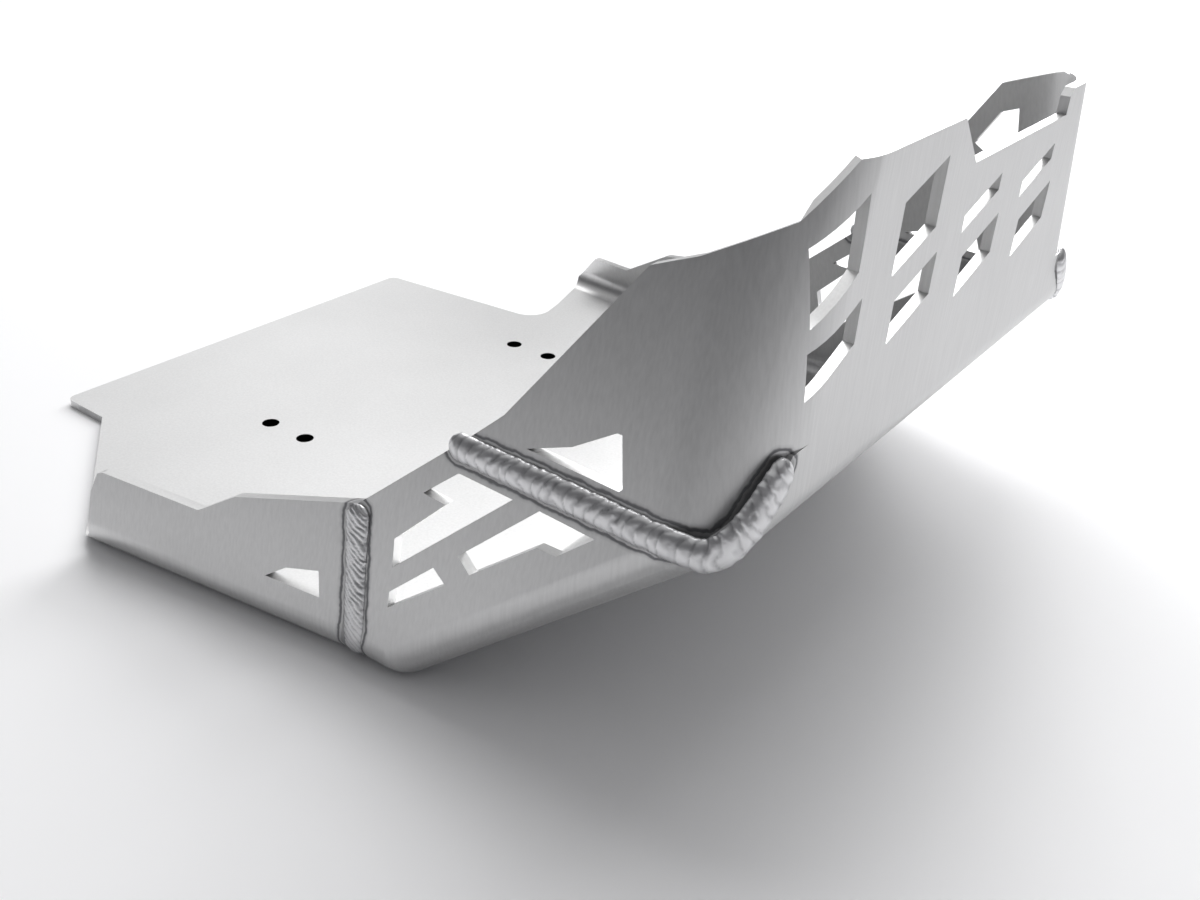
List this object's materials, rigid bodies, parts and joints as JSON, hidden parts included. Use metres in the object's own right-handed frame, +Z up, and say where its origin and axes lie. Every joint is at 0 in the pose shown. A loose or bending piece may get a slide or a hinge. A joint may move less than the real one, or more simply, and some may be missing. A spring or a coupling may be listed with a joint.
{
  "type": "motorcycle skid plate",
  "caption": "Motorcycle skid plate: one folded aluminium sheet with welded corners, slanted windows in front and side flanges and bolt holes in the floor.",
  "frame": {"origin": "on the flat floor's underside, halfway along the plate's length and on its centre plane", "axes": "+X forwards on the motorcycle, +Y to the rider's left, +Z up"},
  "size_m": [0.408, 0.3828, 0.206],
  "materials": {
    "sheet": "brushed raw sheet",
    "weld": "rippled weld bead"
  },
  "bodies": {
    "root": {"skid_plate": "sheet", "weld_right_corner": "weld", "weld_left_corner": "weld", "weld_right_side": "weld", "weld_left_side": "weld"}
  },
  "joints": []
}
